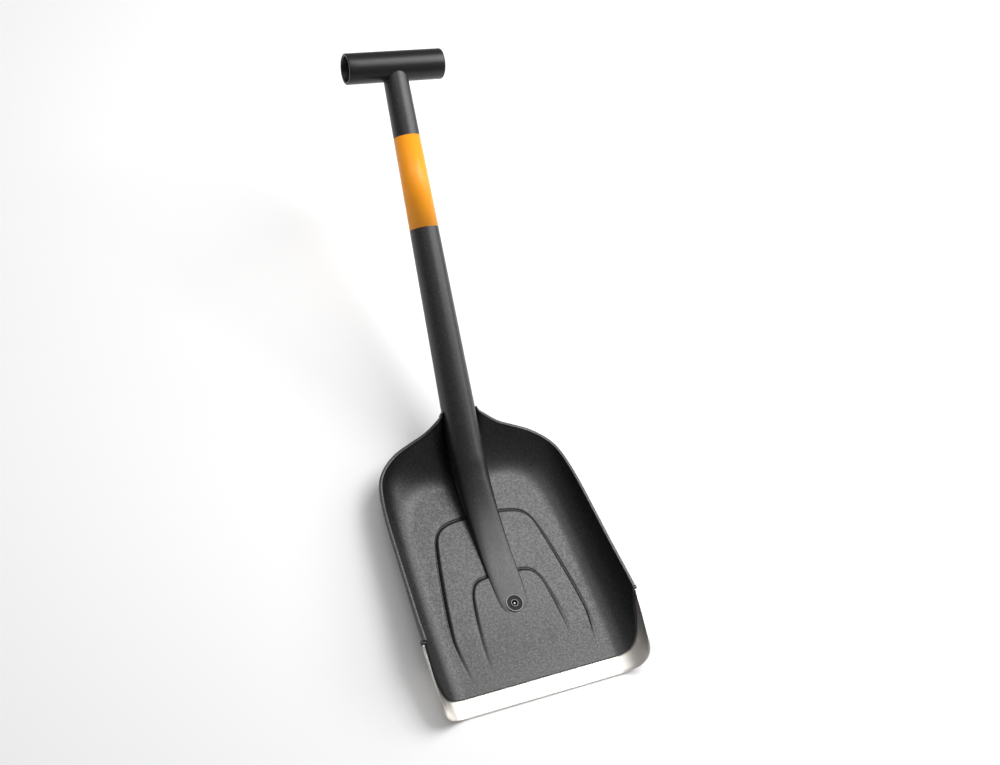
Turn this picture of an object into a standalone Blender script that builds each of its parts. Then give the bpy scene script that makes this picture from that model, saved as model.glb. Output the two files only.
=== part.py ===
"""Compact snow shovel: moulded scoop, aluminium wear edge, tapered shaft and T grip.

Lengths below are in millimetres.  X runs across the scoop, Y from the cutting edge
towards the grip, Z up out of the scoop, which lies on its back on Z = 0.  While a piece
is modelled Y starts at the cutting edge; centre_on_origin then moves everything so that
the middle of the shovel's box stands over the world origin.
"""
import math

import bmesh
import bpy
import numpy as np
from mathutils import Euler, Vector

MM = 0.001
GAP = 0.3                     # clearance between neighbouring pieces

# Grip and shaft
GRIP_Y, GRIP_Z = 620.0, 217.2         # axis of the cross tube
GRIP_LENGTH, GRIP_RADIUS = 105.4, 15.8
GRIP_BORE_RADIUS, GRIP_BORE_DEPTH = 12.9, 34.0
GRIP_EDGE_ROUND = 1.4
SOCKET_RADIUS, SOCKET_DEPTH = 13.15, 3.6    # takes the shaft's end, past the grip's axis
NECK_Y, NECK_Z = 300.8, 52.5          # the shaft's axis over the neck of the scoop
NECK_RADIUS, TOP_RADIUS = 17.6, 13.2
TUBE_WALL = 1.6
SLOPE = math.atan2(GRIP_Z - NECK_Z, GRIP_Y - NECK_Y)
SHAFT_TOP_Y = GRIP_Y - 1.0
CAVITY_END_Y = 192.0
FOOT_END_Y = 78.0

# Coloured band wrapped round the shaft, flush in a shallow seat
BAND_START_Y, BAND_END_Y = 466.0, 552.5
BAND_THICKNESS, BAND_SEAT = 0.45, 0.75

# Scoop
WALL = 2.6
FLOOR_Z = 4.4                 # inside floor behind the cutting edge
FLOOR_DROP = 1.5              # the floor falls this much behind the wear edge
FLOOR_HALF = 79.0
SIDE_REACH, SIDE_HEIGHT = 30.8, 39.0  # quarter ellipse of the side wall
DROP_START_Y, DROP_LENGTH = 34.0, 76.0
NECK_CLEARANCE = 0.8
OUTER_PANEL_Z, INNER_PANEL_Z = 4.4, 4.0     # tops of the panels at the cutting edge
OUTER_PANEL_TILT, INNER_PANEL_TILT = 0.0036, 0.02   # radians, rising towards the neck
PANEL_BOTTOM_Z = 2.0
FOOT_BED_Z = 3.4              # bed in the floor that the foot of the shaft lies in
SPINE_END_Y = 178.0
LUG_X, LUG_Y, LUG_Z = 112.6, 69.6, 38.6
LUG_SIZE = (4.8, 4.0, 5.0)

# Wear edge
EDGE_THICKNESS = 1.5
EDGE_REAR_Y = 45.0

# Rivet through the foot of the shaft
RIVET_Y = 95.0
RIVET_BODY, RIVET_BORE = 4.6, 3.3
RIVET_FLANGE = 9.0
FLANGE_SEAT_Z = 6.5           # recess in the foot that the flange lies in
WASHER_POCKET_Z = 2.3         # roof of the pocket under the scoop

# Hidden fasteners
NECK_RIVET_Y = 284.0
NECK_RIVET_BODY, NECK_RIVET_BORE = 2.4, 1.3
NECK_RIVET_HEAD, NECK_RIVET_BULB = 4.9, 3.6
GRIP_SCREW_RADIUS, GRIP_SCREW_HEAD = 1.9, 3.6


def shaft_axis_z(y):
    return NECK_Z + (y - NECK_Y) * math.tan(SLOPE)


def shaft_radius(y):
    taper = (NECK_RADIUS - TOP_RADIUS) / (GRIP_Y - 26.0 * math.cos(SLOPE) - NECK_Y)
    return NECK_RADIUS - (y - NECK_Y) * taper


def smooth_step(value):
    value = min(max(value, 0.0), 1.0)
    return value * value * (3.0 - 2.0 * value)


def floor_height(y):
    return FLOOR_Z - FLOOR_DROP * smooth_step((y - DROP_START_Y) / DROP_LENGTH)


# ---------------------------------------------------------------- scene helpers

def clear_scene():
    for item in list(bpy.data.objects):
        bpy.data.objects.remove(item, do_unlink=True)


def collection(name):
    made = bpy.data.collections.new(name)
    bpy.context.scene.collection.children.link(made)
    return made


def material(name, colour, roughness, metallic=0.0):
    made = bpy.data.materials.new(name)
    made.use_nodes = True
    shader = made.node_tree.nodes["Principled BSDF"]
    shader.inputs["Base Color"].default_value = (*colour, 1.0)
    shader.inputs["Roughness"].default_value = roughness
    shader.inputs["Metallic"].default_value = metallic
    made.diffuse_color = (*colour, 1.0)
    return made


def add_mesh(name, mesh, where, finish=None):
    made = bpy.data.objects.new(name, mesh)
    where.objects.link(made)
    if finish:
        mesh.materials.append(finish)
        mesh.shade_smooth()
        mesh.set_sharp_from_angle(angle=math.radians(35))
    else:
        made.hide_render = True
        made.display_type = "WIRE"
    return made


def mesh_from_bmesh(name, bm):
    bmesh.ops.recalc_face_normals(bm, faces=bm.faces)
    mesh = bpy.data.meshes.new(name)
    bm.to_mesh(mesh)
    bm.free()
    return mesh


def boolean(target, tool, operation="DIFFERENCE"):
    step = target.modifiers.new(operation.lower() + "_" + tool.name, "BOOLEAN")
    step.operation = operation
    step.object = tool
    step.solver = "EXACT"


def catmull_rom(points, per_span):
    """Smooth curve through the points, per_span steps between neighbours."""
    rows = np.array(points, float)
    ends = np.vstack([2 * rows[0] - rows[1], rows, 2 * rows[-1] - rows[-2]])
    out = []
    for i in range(1, len(ends) - 2):
        a, b, c, d = ends[i - 1:i + 3]
        for t in np.arange(per_span) / per_span:
            out.append(0.5 * (2 * b + (c - a) * t + (2 * a - 5 * b + 4 * c - d) * t ** 2
                              + (3 * b - a - 3 * c + d) * t ** 3))
    out.append(rows[-1])
    return np.array(out)


# ---------------------------------------------------------------- shape helpers

def loft_rings(name, rings, closed_loop=False):
    """Mesh through rings of equal length; the ends are capped unless it is a loop."""
    bm = bmesh.new()
    loops = [[bm.verts.new(Vector(p) * MM) for p in ring] for ring in rings]
    pairs = list(zip(loops[:-1], loops[1:]))
    if closed_loop:
        pairs.append((loops[-1], loops[0]))
    for lower, upper in pairs:
        for i in range(len(lower)):
            j = (i + 1) % len(lower)
            bm.faces.new((lower[i], lower[j], upper[j], upper[i]))
    if not closed_loop:
        bm.faces.new(loops[0][::-1])
        bm.faces.new(loops[-1])
    return mesh_from_bmesh(name, bm)


def turned(name, profile, where, finish=None, segments=40, spot=(0, 0, 0), turn=(0, 0, 0)):
    """Solid of revolution about Z; profile holds (radius, height), top to bottom."""
    bm = bmesh.new()
    points = [bm.verts.new((r * MM, 0, z * MM)) for r, z in profile]
    for a, b in zip(points, points[1:]):
        bm.edges.new((a, b))
    if profile[0][0] > 0 or profile[-1][0] > 0:
        bm.edges.new((points[-1], points[0]))
    outline = bpy.data.meshes.new(name)
    bm.to_mesh(outline)
    bm.free()
    made = add_mesh(name, outline, where, finish)
    made.location = Vector(spot) * MM
    made.rotation_euler = Euler(turn)
    spin = made.modifiers.new("turn", "SCREW")
    spin.steps = spin.render_steps = segments
    spin.use_merge_vertices = True
    spin.merge_threshold = 0.00001
    spin.use_smooth_shade = True
    return made


def flat_plate(name, outline, bottom, top, where, tilt=0.0):
    """A filled 2D curve outline in X and Y, extruded from bottom to top and made a mesh."""
    curve = bpy.data.curves.new(name, "CURVE")
    curve.dimensions = "2D"
    curve.fill_mode = "BOTH"
    curve.extrude = (top - bottom) / 2 * MM
    spline = curve.splines.new("POLY")
    spline.points.add(len(outline) - 1)
    for point, (x, y) in zip(spline.points, outline):
        point.co = (x * MM, y * MM, 0, 1)
    spline.use_cyclic_u = True
    guide = bpy.data.objects.new(name + "_outline", curve)
    bpy.context.scene.collection.objects.link(guide)
    seen = guide.evaluated_get(bpy.context.evaluated_depsgraph_get())
    mesh = bpy.data.meshes.new_from_object(seen)
    bpy.data.objects.remove(guide, do_unlink=True)
    bm = bmesh.new()
    bm.from_mesh(mesh)
    bmesh.ops.remove_doubles(bm, verts=bm.verts, dist=0.000001)
    bmesh.ops.recalc_face_normals(bm, faces=bm.faces)
    bm.to_mesh(mesh)
    bm.free()
    made = add_mesh(name, mesh, where)
    made.location.z = (bottom + top) / 2 * MM
    made.rotation_euler.x = tilt
    return made


def side_plate(name, outline, half_width, where):
    """Cutter whose outline is drawn in Y and Z and which runs across the whole scoop."""
    rings = [[(x, y, z) for y, z in outline] for x in (-half_width, half_width)]
    return add_mesh(name, loft_rings(name, rings), where)


# ---------------------------------------------------------------- scoop

# Going round the right half of the scoop from the cutting edge to the neck:
# rim x, y, z, then floor edge x, y, then how far the wall turns upright, in degrees
STATIONS = (
    (109.8, -12.0, 43.4, 79.0, -12.0, 90.0),
    (109.8, 30.0, 43.4, 79.0, 30.0, 90.0),
    (109.8, 68.0, 43.4, 79.0, 68.0, 90.0),
    (109.2, 92.0, 41.2, 78.7, 92.0, 89.0),
    (107.6, 124.0, 38.4, 78.0, 124.0, 87.0),
    (106.2, 157.0, 36.2, 77.0, 156.0, 84.0),
    (103.6, 204.0, 33.2, 71.5, 200.0, 78.0),
    (98.5, 236.0, 31.4, 61.5, 219.0, 71.0),
    (90.0, 252.5, 31.0, 52.0, 225.5, 66.0),
    (75.0, 265.5, 32.2, 41.5, 228.0, 59.0),
    (58.0, 273.0, 35.2, 32.0, 228.5, 54.0),
    (42.0, 278.0, 40.2, 24.0, 227.5, 51.0),
    (29.0, 284.0, 46.8, 18.0, 226.0, 50.0),
    (20.2, 291.0, 50.8, 15.0, 225.0, 50.0),
    (17.9, 297.0, 54.0, 12.6, 224.5, 50.0),
    (12.2, 299.5, 55.5, 8.5, 224.0, 50.0),
    (6.0, 300.6, 56.0, 4.2, 224.0, 50.0),
    (0.0, 301.0, 56.0, 0.0, 224.0, 50.0),
)
FLOOR_STEPS, WALL_STEPS = 4, 11


def clear_of_shaft(point, extra):
    """Lower a point that would lie inside the shaft's envelope, extra bigger all round."""
    x, y, z = point
    radius = shaft_radius(y) + extra
    if abs(x) >= radius or y < NECK_Y - 75:
        return point
    under = shaft_axis_z(y) - math.sqrt(radius ** 2 - x ** 2) / math.cos(SLOPE)
    lowest = floor_height(y) - extra + NECK_CLEARANCE
    return np.array([x, y, max(min(z, under), lowest)])


def scoop_grid():
    """Inside surface as rows of points: floor spine, floor edge, wall, rim."""
    rows = []
    stations = catmull_rom(STATIONS, 2)
    for number, (rx, ry, rz, fx, fy, turn) in enumerate(stations):
        share = number / (len(stations) - 1)
        spine_y = fy if fy < 60 else min(fy, 60 + (SPINE_END_Y - 60) * share ** 0.6)
        row = []
        for step in range(FLOOR_STEPS):
            t = step / FLOOR_STEPS
            y = spine_y + (fy - spine_y) * t
            row.append((fx * t, y, floor_height(y)))
        start = np.array([fx, fy, floor_height(fy)])
        full = math.radians(turn)
        for step in range(WALL_STEPS + 1):
            angle = full * step / WALL_STEPS
            across = math.sin(angle) / math.sin(full)
            rise = (1 - math.cos(angle)) / (1 - math.cos(full))
            row.append((start[0] + (rx - start[0]) * across,
                        start[1] + (ry - start[1]) * across,
                        start[2] + (rz - start[2]) * rise))
        rows.append(row)
    return np.array(rows)


def grid_normals(grid):
    along = np.gradient(grid, axis=0)
    up = np.gradient(grid, axis=1)
    normals = np.cross(along, up)
    normals[:, 0] = (0, 0, -1)
    normals[-1, :, 0] = 0
    normals /= np.linalg.norm(normals, axis=2, keepdims=True)
    normals[normals[:, :, 2] > 0] *= -1
    return normals


def make_blade(parts, cutters, finish):
    inside = scoop_grid()
    outside = inside + grid_normals(inside) * WALL
    outside[:, -1, 2] = inside[:, -1, 2]
    outside[-1, :, 0] = outside[:, 0, 0] = 0
    for row in inside:
        row[:] = [clear_of_shaft(p, NECK_CLEARANCE) for p in row]
    for row in outside:
        row[:] = [clear_of_shaft(p, NECK_CLEARANCE + WALL) for p in row]
    low = inside[:, :, 2] - WALL * 0.6
    near = np.abs(inside[:, :, 0] - outside[:, :, 0]) < WALL * 0.5
    outside[:, :, 2] = np.where(near, np.minimum(outside[:, :, 2], low), outside[:, :, 2])

    bm = bmesh.new()
    skins = [[[bm.verts.new(Vector(p) * MM) for p in row] for row in skin]
             for skin in (inside, outside)]
    for skin in skins:
        for a, b in zip(skin, skin[1:]):
            for i in range(len(a) - 1):
                bm.faces.new((a[i], a[i + 1], b[i + 1], b[i]))
    inner, outer = skins
    for a, b, c, d in zip(inner, inner[1:], outer, outer[1:]):
        bm.faces.new((a[-1], b[-1], d[-1], c[-1]))
    for i in range(len(inner[0]) - 1):
        bm.faces.new((inner[0][i], inner[0][i + 1], outer[0][i + 1], outer[0][i]))
    for end in (inner[-1], outer[-1]):
        for vert in end:
            vert.co.x = 0
    mesh = mesh_from_bmesh("blade", bm)
    blade = add_mesh("blade", mesh, parts, finish)
    mirror = blade.modifiers.new("mirror", "MIRROR")
    mirror.merge_threshold = 0.00005
    mirror.use_clip = True

    boolean(blade, outer_panel(cutters), "UNION")
    boolean(blade, inner_panel(cutters), "UNION")
    boolean(blade, foot_bed(cutters))
    for side in (-1, 1):
        boolean(blade, catch_lug(side, cutters), "UNION")
    boolean(blade, side_plate("blade_nose_cutter", NOSE, 140, cutters))
    boolean(blade, neck_rivet_hole(cutters))
    hole, pocket = RIVET_BODY + GAP, RIVET_FLANGE + 1.2
    stepped = ((0, 20), (hole, 20), (hole, WASHER_POCKET_Z), (pocket, WASHER_POCKET_Z),
               (pocket, -10), (0, -10))
    boolean(blade, turned("washer_pocket_cutter", stepped, cutters, spot=(0, RIVET_Y, 0)))
    return blade


# Side view of the scoop's nose: everything in front of it is cut away (y, z)
NOSE = ((-60, -30), (17.9, -30), (17.9, 7), (19.6, 10.6), (24, 14.8), (31, 19.6), (42, 25.0),
        (54, 30.0), (61, 34.2), (66, 38.2), (70.6, 40.6), (70.6, 90), (-60, 90))


def mirrored(half):
    return list(half) + [(-x, y) for x, y in reversed(half)]


def outer_panel(cutters):
    outline = mirrored(((26, 195), (38, 192.3), (47, 187.6), (53, 180), (59.5, 152),
                        (66, 116), (69.5, 88), (71, 60), (70, 40), (66, 31)))
    return flat_plate("outer_panel", outline, PANEL_BOTTOM_Z, OUTER_PANEL_Z, cutters,
                      OUTER_PANEL_TILT)


def inner_panel(cutters):
    outline = mirrored(((20, 127.3), (28, 125.4), (34, 120), (38.5, 108), (42.5, 76), (44, 52)))
    return flat_plate("inner_panel", outline, PANEL_BOTTOM_Z - 0.4, INNER_PANEL_Z, cutters,
                      INNER_PANEL_TILT)


def foot_bed(cutters):
    """Bed for the foot of the shaft, sunk into both panels."""
    end, corner = FOOT_END_Y - 0.4, 7.0
    sides = [(row[3] + BED_CLEARANCE, row[0]) for row in FOOT[1:]]
    half = sides[-1][0]
    outline = mirrored([(sides[0][0] + 0.3, 232.0), *sides,
                        (half - corner * 0.3, end + corner * 0.3), (half - corner, end)])
    return flat_plate("foot_bed", outline, FOOT_BED_Z, 30.0, cutters)


def catch_lug(side, cutters):
    """Small tooth at the end of the rim, which holds the tip of the wear edge."""
    name = "catch_lug_left" if side < 0 else "catch_lug_right"
    bm = bmesh.new()
    bmesh.ops.create_cube(bm, size=MM)
    bmesh.ops.scale(bm, vec=LUG_SIZE, verts=bm.verts)
    lug = add_mesh(name, mesh_from_bmesh(name, bm), cutters)
    lug.location = Vector((side * LUG_X, LUG_Y, LUG_Z)) * MM
    return lug


def cylinder_profile(radius, bottom, top):
    return ((0, top), (radius, top), (radius, bottom), (0, bottom))


# ---------------------------------------------------------------- wear edge

# Side view of the wear edge (y, z), front face first, then back along the wing
WING = ((0, -5), (0, 9.5), (1.6, 14), (3.8, 18.6), (7, 22.2), (11.5, 25), (18, 27.6), (28, 30),
        (40, 32.9), (52, 35.9), (62, 38.4), (66.6, 39.2), (67.2, 37.5), (66, 34), (EDGE_REAR_Y, -5))


def section_row(offset, turns):
    """Cross-section of the nose, offset outwards; right side only, floor to rim."""
    row = [(0, FLOOR_Z - offset), (FLOOR_HALF * 0.6, FLOOR_Z - offset)]
    for angle in turns:
        x = FLOOR_HALF + SIDE_REACH * math.sin(angle)
        z = FLOOR_Z + SIDE_HEIGHT * (1 - math.cos(angle))
        normal = Vector((math.sin(angle) / SIDE_REACH, -math.cos(angle) / SIDE_HEIGHT))
        normal.normalize()
        row.append((x + normal.x * offset, z + normal.y * offset))
    return row


def make_wear_edge(parts, cutters, finish):
    turns = [math.radians(90) * i / 18 for i in range(19)]
    inner = section_row(WALL + GAP, turns)
    outer = section_row(WALL + GAP + EDGE_THICKNESS, turns)
    right = inner + outer[::-1]
    left_inner = [(-x, z) for x, z in inner[:0:-1]]
    left_outer = [(-x, z) for x, z in outer[1:]]
    ring = left_inner + right + left_outer
    rings = [[(x, y, z) for x, z in ring] for y in (-4.0, 74.0)]
    edge = add_mesh("wear_edge", loft_rings("wear_edge", rings), parts, finish)
    boolean(edge, side_plate("wing_shape", WING, 150, cutters), "INTERSECT")
    return edge


# ---------------------------------------------------------------- shaft

# Foot of the shaft (y, top z, bottom z, half width, squareness), grip end first
FOOT = (
    (240.0, 41.0, 4.6, 18.1, 2.2),
    (222.0, 31.8, 3.9, 17.8, 2.3),
    (205.0, 24.0, 3.9, 17.4, 2.6),
    (188.0, 18.2, 3.9, 17.1, 2.9),
    (170.0, 13.9, 3.9, 16.9, 3.2),
    (150.0, 10.5, 3.9, 16.8, 3.6),
    (131.0, 8.9, 3.9, 16.7, 4.0),
    (112.0, 8.1, 3.9, 16.3, 4.4),
    (97.0, 7.5, 3.9, 15.7, 4.8),
    (86.0, 6.8, 3.9, 15.2, 5.2),
)
SHAFT_SIDES = 32
TIP_THINNING = 0.3
BED_CLEARANCE = 0.45


def shaft_ring(y, middle_z, half_height, half_width, lean, squareness=2.0):
    ring = []
    for i in range(SHAFT_SIDES):
        angle = 2 * math.pi * i / SHAFT_SIDES
        c, s = math.cos(angle), math.sin(angle)
        across = half_width * math.copysign(abs(c) ** (2 / squareness), c)
        up = half_height * math.copysign(abs(s) ** (2 / squareness), s)
        ring.append((across, y - up * math.sin(lean), middle_z + up * math.cos(lean)))
    return ring


def shaft_rings(shrink):
    """Rings from the grip down to the foot; shrink is the wall of the tube, or 0."""
    seat = [(SHAFT_TOP_Y, 0), (BAND_END_Y + GAP, 0), (BAND_END_Y + GAP, BAND_SEAT),
            (BAND_START_Y - GAP, BAND_SEAT), (BAND_START_Y - GAP, 0), (380.0, 0), (NECK_Y, 0),
            (278.0, 0), (262.0, 0)]
    if shrink:
        seat = [(y, 0) for y, depth in seat if not depth]
    rings = []
    for y, depth in seat:
        radius = shaft_radius(y) - depth - shrink
        rings.append(shaft_ring(y, shaft_axis_z(y), radius, radius, SLOPE))
    for number, (y, top, bottom, half, squareness) in enumerate(FOOT):
        if shrink and y < CAVITY_END_Y - 10:
            break
        if shrink and y < CAVITY_END_Y:
            y = CAVITY_END_Y
        lean = SLOPE * 0.5 if number == 0 else 0.0
        height = (top - bottom) / 2 / (math.cos(lean) if lean else 1.0)
        rings.append(shaft_ring(y, (top + bottom) / 2, height - shrink, half - shrink, lean,
                                squareness))
    return rings


def foot_tip_rings():
    """The rounded end of the foot, thinned to sink into the floor of the scoop."""
    y, top, bottom, half, squareness = FOOT[-1]
    reach = y - FOOT_END_Y
    rings = []
    for turn in (30, 55, 75, 86):
        angle = math.radians(turn)
        width = half - reach * (1 - math.cos(angle))
        lift = (top - bottom) * (1 - TIP_THINNING * math.sin(angle))
        rings.append(shaft_ring(y - reach * math.sin(angle), bottom + lift / 2, lift / 2,
                                width, 0.0, squareness))
    return rings


def make_shaft(parts, cutters, finish):
    outside = shaft_rings(0)[::-1]
    outside = foot_tip_rings()[::-1] + outside
    inside = shaft_rings(TUBE_WALL)
    mesh = loft_rings("shaft", outside + inside)
    shaft = add_mesh("shaft", mesh, parts, finish)
    hole, seat = RIVET_BODY + GAP, RIVET_FLANGE + 0.5
    stepped = ((0, 20), (seat, 20), (seat, FLANGE_SEAT_Z), (hole, FLANGE_SEAT_Z),
               (hole, 0), (0, 0))
    boolean(shaft, turned("flange_seat_cutter", stepped, cutters, spot=(0, RIVET_Y, 0)))
    boolean(shaft, neck_rivet_hole(cutters, "shaft_"))
    boolean(shaft, grip_screw_hole(cutters, "shaft_"))
    return shaft


def make_band(parts, finish):
    """Thin sleeve in its seat on the shaft, its face level with the shaft's."""
    def ring(y, depth):
        radius = shaft_radius(y) - depth
        return shaft_ring(y, shaft_axis_z(y), radius, radius, SLOPE)
    outer = [ring(BAND_START_Y, 0), ring(BAND_END_Y, 0)]
    inner = [ring(BAND_END_Y, BAND_THICKNESS), ring(BAND_START_Y, BAND_THICKNESS)]
    mesh = loft_rings("band", outer + inner, closed_loop=True)
    return add_mesh("band", mesh, parts, finish)


# ---------------------------------------------------------------- grip

def make_grip(parts, cutters, finish):
    half, edge = GRIP_LENGTH / 2, GRIP_EDGE_ROUND
    bottom = half - GRIP_BORE_DEPTH
    quarter = [math.radians(a) for a in (0, 30, 60, 90)]
    profile = [(0, bottom), (GRIP_BORE_RADIUS - 1.0, bottom), (GRIP_BORE_RADIUS, half - edge)]
    profile += [(GRIP_RADIUS - edge + edge * math.sin(a), half - edge + edge * math.cos(a))
                for a in quarter]
    profile += [(r, -z) for r, z in reversed(profile)]
    grip = turned("t_grip", profile, parts, finish, segments=48,
                  spot=(0, GRIP_Y, GRIP_Z), turn=(0, math.pi / 2, 0))
    socket = cylinder_profile(SOCKET_RADIUS, -40, SOCKET_DEPTH)
    tool = turned("socket_cutter", socket, cutters, segments=40, spot=(0, GRIP_Y, GRIP_Z),
                  turn=(SLOPE - math.pi / 2, 0, 0))
    boolean(grip, tool)
    boolean(grip, grip_screw_hole(cutters, "grip_"))
    return grip


def back_turn():
    """Turn that points a piece's +Z out of the back of the shaft, square to its axis."""
    return (math.pi + SLOPE, 0, 0)


def grip_screw_hole(cutters, owner):
    return turned(owner + "screw_hole_cutter",
                  cylinder_profile(GRIP_SCREW_RADIUS + GAP, 5, 30), cutters, segments=16,
                  spot=(0, GRIP_Y, GRIP_Z), turn=back_turn())


def make_grip_screw(parts, finish):
    head, top = GRIP_SCREW_HEAD, GRIP_RADIUS + GAP
    profile = ((0, top + 1.9), (head - 1.2, top + 1.9), (head - 0.3, top + 1.3), (head, top + 0.5),
               (head, top), (GRIP_SCREW_RADIUS, top), (GRIP_SCREW_RADIUS, 8.5),
               (0.9, 6.8), (0, 6.8))
    return turned("grip_screw", profile, parts, finish, segments=20,
                  spot=(0, GRIP_Y, GRIP_Z), turn=back_turn())


# ---------------------------------------------------------------- rivets

def neck_spot():
    return (0, NECK_RIVET_Y, shaft_axis_z(NECK_RIVET_Y))


def neck_rivet_hole(cutters, owner="blade_"):
    return turned(owner + "neck_hole_cutter", cylinder_profile(NECK_RIVET_BODY + GAP, 8, 40), cutters,
                  segments=20, spot=neck_spot(), turn=back_turn())


def make_neck_rivet(parts, shell, stem):
    """Blind rivet through the cradle of the neck into the shaft, set from behind."""
    tube = shaft_radius(NECK_RIVET_Y)
    seat = tube + NECK_CLEARANCE + WALL + 1.1
    inside = tube - TUBE_WALL - 0.9
    bore, body, head, bulb = NECK_RIVET_BORE, NECK_RIVET_BODY, NECK_RIVET_HEAD, NECK_RIVET_BULB
    profile = ((bore, seat + 1.3), (head - 1.9, seat + 1.3), (head, seat + 0.5), (head, seat),
               (body, seat), (body, inside), (bulb, inside - 0.6), (bulb, inside - 2.4),
               (bulb - 1.4, inside - 3.2), (bore, inside - 3.2))
    turned("neck_rivet", profile, parts, shell, 24, neck_spot(), back_turn())
    pin = bore - GAP
    foot = inside - 3.2 - GAP
    profile = ((0, seat + 0.6), (pin, seat + 0.6), (pin, foot), (2.0, foot), (1.7, foot - 1.8),
               (0, foot - 1.8))
    turned("neck_rivet_mandrel", profile, parts, stem, 20, neck_spot(), back_turn())


def make_blade_rivet(parts, shell, stem):
    """Dished rivet through the foot, the scoop and a washer in a pocket underneath."""
    low, high = FLANGE_SEAT_Z + GAP, FLANGE_SEAT_Z + 1.4
    bore, body, flange = RIVET_BORE, RIVET_BODY, RIVET_FLANGE
    roof = WASHER_POCKET_Z - GAP
    profile = ((bore + 0.6, high), (bore + 1.3, high - 0.2), (bore + 2.2, high - 0.6),
               (flange - 1.9, high - 0.6), (flange - 1.2, high), (flange - 0.4, high),
               (flange, high - 0.4), (flange, low), (body, low), (body, roof - 1.0),
               (6.4, roof - 1.0), (6.4, roof - 1.3), (5.6, roof - 1.6), (bore, roof - 1.6),
               (bore, high - 0.6))
    turned("blade_rivet", profile, parts, shell, 40, (0, RIVET_Y, 0))
    washer = ((body + GAP, roof), (RIVET_FLANGE, roof), (RIVET_FLANGE, roof - 0.7),
              (body + GAP, roof - 0.7))
    turned("blade_rivet_washer", washer, parts, shell, 40, (0, RIVET_Y, 0))
    pin = ((0, high - 1.8), (0.9, high - 1.8), (1.15, high - 2.2), (1.15, 2.8),
           (bore - GAP, 2.2), (bore - GAP, 1.0), (bore - 0.9, 0.5), (0, 0.5))
    turned("blade_rivet_mandrel", pin, parts, stem, 28, (0, RIVET_Y, 0))


# ---------------------------------------------------------------- assembly

def centre_on_origin():
    shift = -(GRIP_Y + GRIP_RADIUS) / 2 * MM
    for item in bpy.data.objects:
        item.location.y += shift


def build():
    clear_scene()
    parts = collection("snow_shovel")
    cutters = collection("cutters")
    black_plastic = material("black_moulded_plastic", (0.035, 0.037, 0.04), 0.55)
    shaft_coat = material("black_powder_coat", (0.04, 0.041, 0.043), 0.5)
    aluminium = material("bare_aluminium", (0.8, 0.78, 0.76), 0.35, 1.0)
    orange = material("orange_film", (0.95, 0.36, 0.02), 0.4)
    rivet = material("black_rivet", (0.12, 0.12, 0.13), 0.4, 0.8)
    steel = material("steel_stem", (0.6, 0.6, 0.6), 0.35, 1.0)
    grip_plastic = material("grip_plastic", (0.02, 0.021, 0.023), 0.42)

    make_blade(parts, cutters, black_plastic)
    make_wear_edge(parts, cutters, aluminium)
    make_shaft(parts, cutters, shaft_coat)
    make_band(parts, orange)
    make_grip(parts, cutters, grip_plastic)
    make_grip_screw(parts, steel)
    make_blade_rivet(parts, rivet, steel)
    make_neck_rivet(parts, rivet, steel)
    centre_on_origin()


build()
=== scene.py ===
import math

import bmesh
import bpy
from mathutils import Matrix, Vector


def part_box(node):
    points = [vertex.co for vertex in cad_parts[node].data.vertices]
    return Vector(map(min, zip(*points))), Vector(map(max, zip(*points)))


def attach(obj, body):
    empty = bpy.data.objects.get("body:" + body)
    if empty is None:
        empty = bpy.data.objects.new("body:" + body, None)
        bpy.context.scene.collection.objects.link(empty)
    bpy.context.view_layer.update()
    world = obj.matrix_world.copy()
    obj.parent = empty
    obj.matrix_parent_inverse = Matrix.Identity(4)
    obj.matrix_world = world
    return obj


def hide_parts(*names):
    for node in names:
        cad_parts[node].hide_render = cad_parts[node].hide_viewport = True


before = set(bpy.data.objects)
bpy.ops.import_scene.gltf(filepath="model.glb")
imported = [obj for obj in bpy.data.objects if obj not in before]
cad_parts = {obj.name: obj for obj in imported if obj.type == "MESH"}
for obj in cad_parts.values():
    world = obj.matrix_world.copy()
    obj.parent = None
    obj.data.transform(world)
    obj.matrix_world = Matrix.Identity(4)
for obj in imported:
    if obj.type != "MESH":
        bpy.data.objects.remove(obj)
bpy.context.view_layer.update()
print("frame loaded:", sorted(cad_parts))

mm = 0.001
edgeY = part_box("wear_edge")[0].y / mm     # the cutting edge; lengths below run from it, in mm
gripLow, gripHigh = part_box("t_grip")
gripMid = (gripLow + gripHigh) / 2 / mm


def spot(x, y, z):
    # a point given in mm across, from the cutting edge, and up
    return Vector((x, y + edgeY, z)) * mm


def smoothStep(value):
    value = min(max(value, 0.0), 1.0)
    return value * value * (3 - 2 * value)


def between(value, low, high):
    return smoothStep((value - low) / (high - low))


def curvePoint(rows, place):
    # smooth curve through the rows; place counts rows and may be a fraction
    place = min(max(place, 0), len(rows) - 1)
    i = min(int(place), len(rows) - 2)
    t = place - i
    b, c = rows[i], rows[i + 1]
    a = rows[i - 1] if i else [2 * p - q for p, q in zip(b, c)]
    d = rows[i + 2] if i + 2 < len(rows) else [2 * q - p for p, q in zip(b, c)]
    return [0.5 * (2 * q + (r - p) * t + (2 * p - 5 * q + 4 * r - s) * t * t
                   + (3 * q - p - 3 * r + s) * t ** 3) for p, q, r, s in zip(a, b, c, d)]


def finishPiece(name, bm, material, node, sharp):
    bmesh.ops.remove_doubles(bm, verts=bm.verts, dist=0.0000005)
    bmesh.ops.recalc_face_normals(bm, faces=bm.faces)
    mesh = bpy.data.meshes.new(name)
    bm.to_mesh(mesh)
    bm.free()
    mesh.shade_smooth()
    mesh.set_sharp_from_angle(angle=math.radians(sharp))
    mesh.materials.append(material)
    piece = bpy.data.objects.new(name, mesh)
    bpy.context.scene.collection.objects.link(piece)
    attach(piece, "root")
    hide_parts(node)
    return piece


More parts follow.
